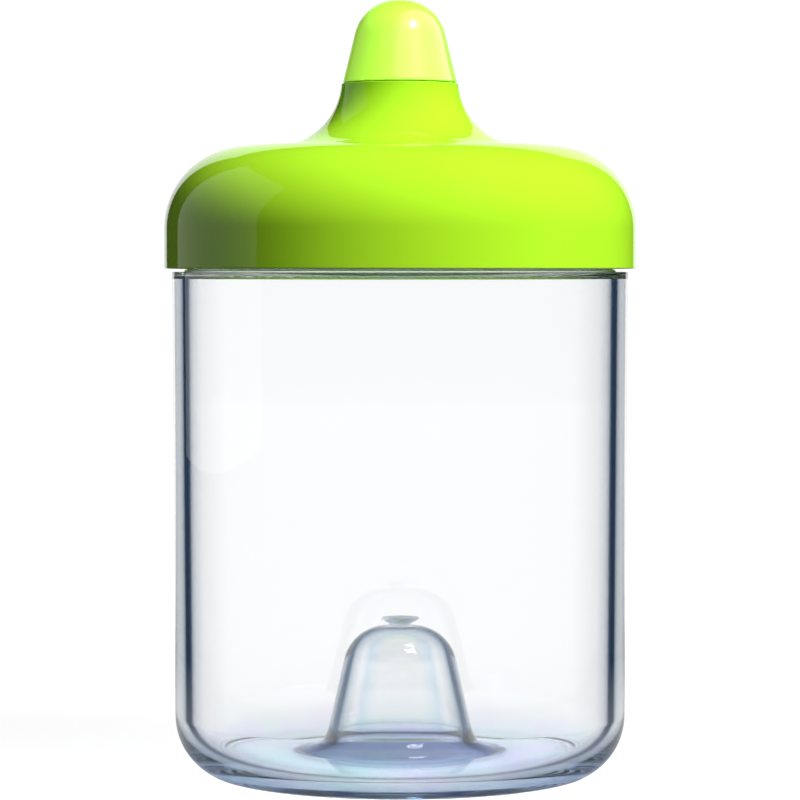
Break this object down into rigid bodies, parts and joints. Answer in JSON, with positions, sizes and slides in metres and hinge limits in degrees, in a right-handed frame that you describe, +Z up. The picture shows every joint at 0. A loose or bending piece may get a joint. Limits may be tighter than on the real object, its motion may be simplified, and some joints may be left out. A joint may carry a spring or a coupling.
{
  "type": "sippy cup",
  "caption": "Clear tumbler with a bell-shaped recess in its base, a domed screw lid and a push-pull spout for a small child.",
  "frame": {"origin": "centre of the base on the surface the cup stands on", "axes": "+Z up along the cup's axis; +Y towards the air inlet at the back of the lid, so -Y faces the viewer"},
  "size_m": [0.076, 0.076, 0.1248],
  "materials": {
    "clear_plastic": "polished clear copolyester",
    "lime_plastic": "high gloss",
    "pale_lime_plastic": "high gloss",
    "clear_silicone": "satin translucent silicone"
  },
  "bodies": {
    "cup": {"cup_body": "clear_plastic"},
    "gasket": {"lid_gasket": "clear_silicone"},
    "lid": {"lid_shell": "lime_plastic", "spout_core": "lime_plastic", "spout_o_ring": "clear_silicone", "spill_valve": "clear_silicone", "valve_retainer": "lime_plastic", "vent_valve": "clear_silicone"},
    "spout": {"spout_tip": "pale_lime_plastic"}
  },
  "joints": [
    {"name": "lid_rise", "type": "slide", "parent": "cup", "child": "gasket", "axis": [0, 0, 1], "range_m": [0, 0.012]},
    {"name": "lid_turn", "type": "hinge", "parent": "gasket", "child": "lid", "pos_m": [0, 0, 0.09], "axis": [0, 0, 1], "range_deg": [0, 360]},
    {"name": "spout_pull", "type": "slide", "parent": "lid", "child": "spout", "axis": [0, 0, 1], "range_m": [0, 0.005]}
  ],
  "couplings": [
    {"joint": "lid_rise", "follows": "lid_turn", "m_per_rad": 0.0019099}
  ]
}
